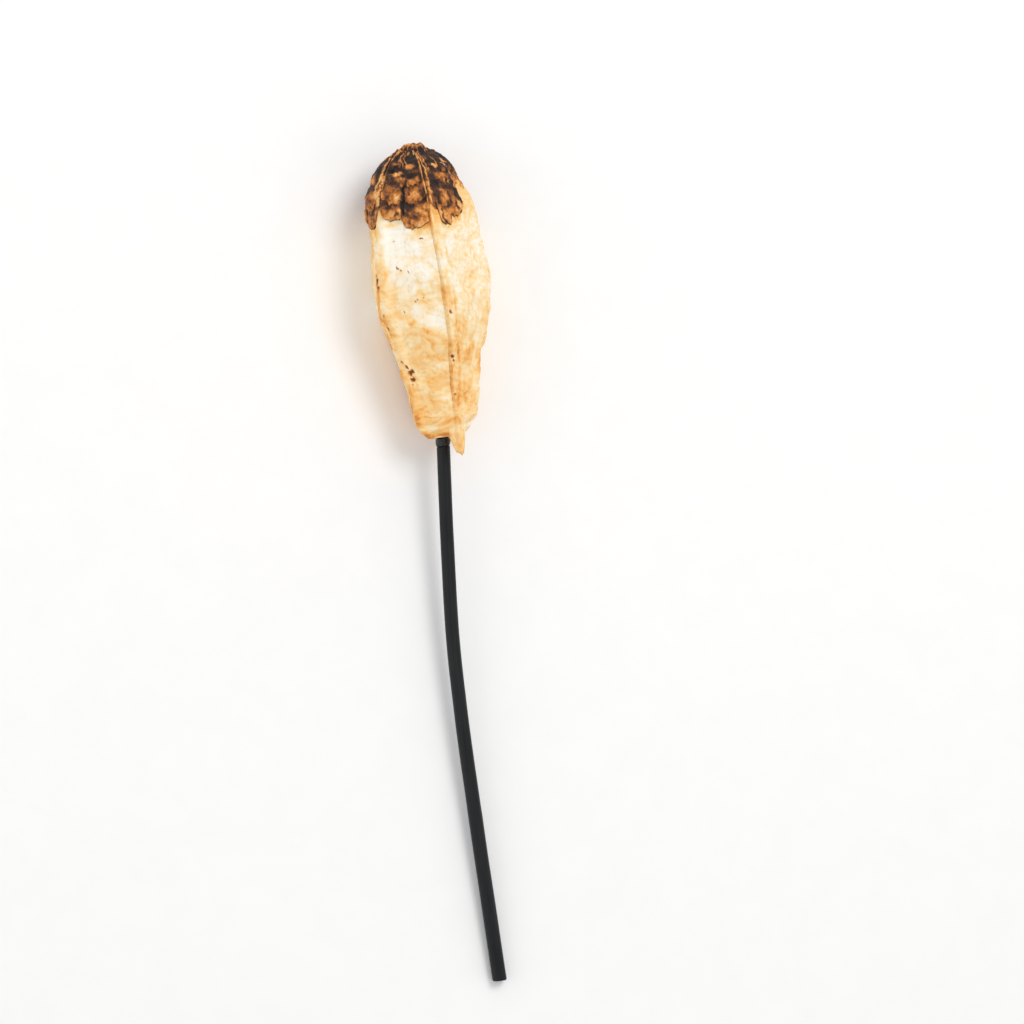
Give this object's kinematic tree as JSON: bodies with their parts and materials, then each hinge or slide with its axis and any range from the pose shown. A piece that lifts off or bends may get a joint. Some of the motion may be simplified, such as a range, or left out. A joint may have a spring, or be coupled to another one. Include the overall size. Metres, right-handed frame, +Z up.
{
  "type": "mahogany seed pod",
  "caption": "Pale ribbed woody core of a mahogany fruit with a dark crown of seed scars, glued on a black stick and lying on its side.",
  "frame": {"origin": "on the surface that the pod lies on, under the middle of the whole object", "axes": "+Y along the length, from the foot of the stick to the tip of the pod; +Z up, away from the surface"},
  "size_m": [0.0512, 0.363, 0.0488],
  "materials": {
    "pod": "dry, matt, spongy pale wood, dark brown on its crown",
    "stick": "stained black, satin",
    "glue": "shiny black hot glue"
  },
  "bodies": {
    "root": {"pod": "pod", "stick": "stick", "glue_bead": "glue"}
  },
  "joints": []
}
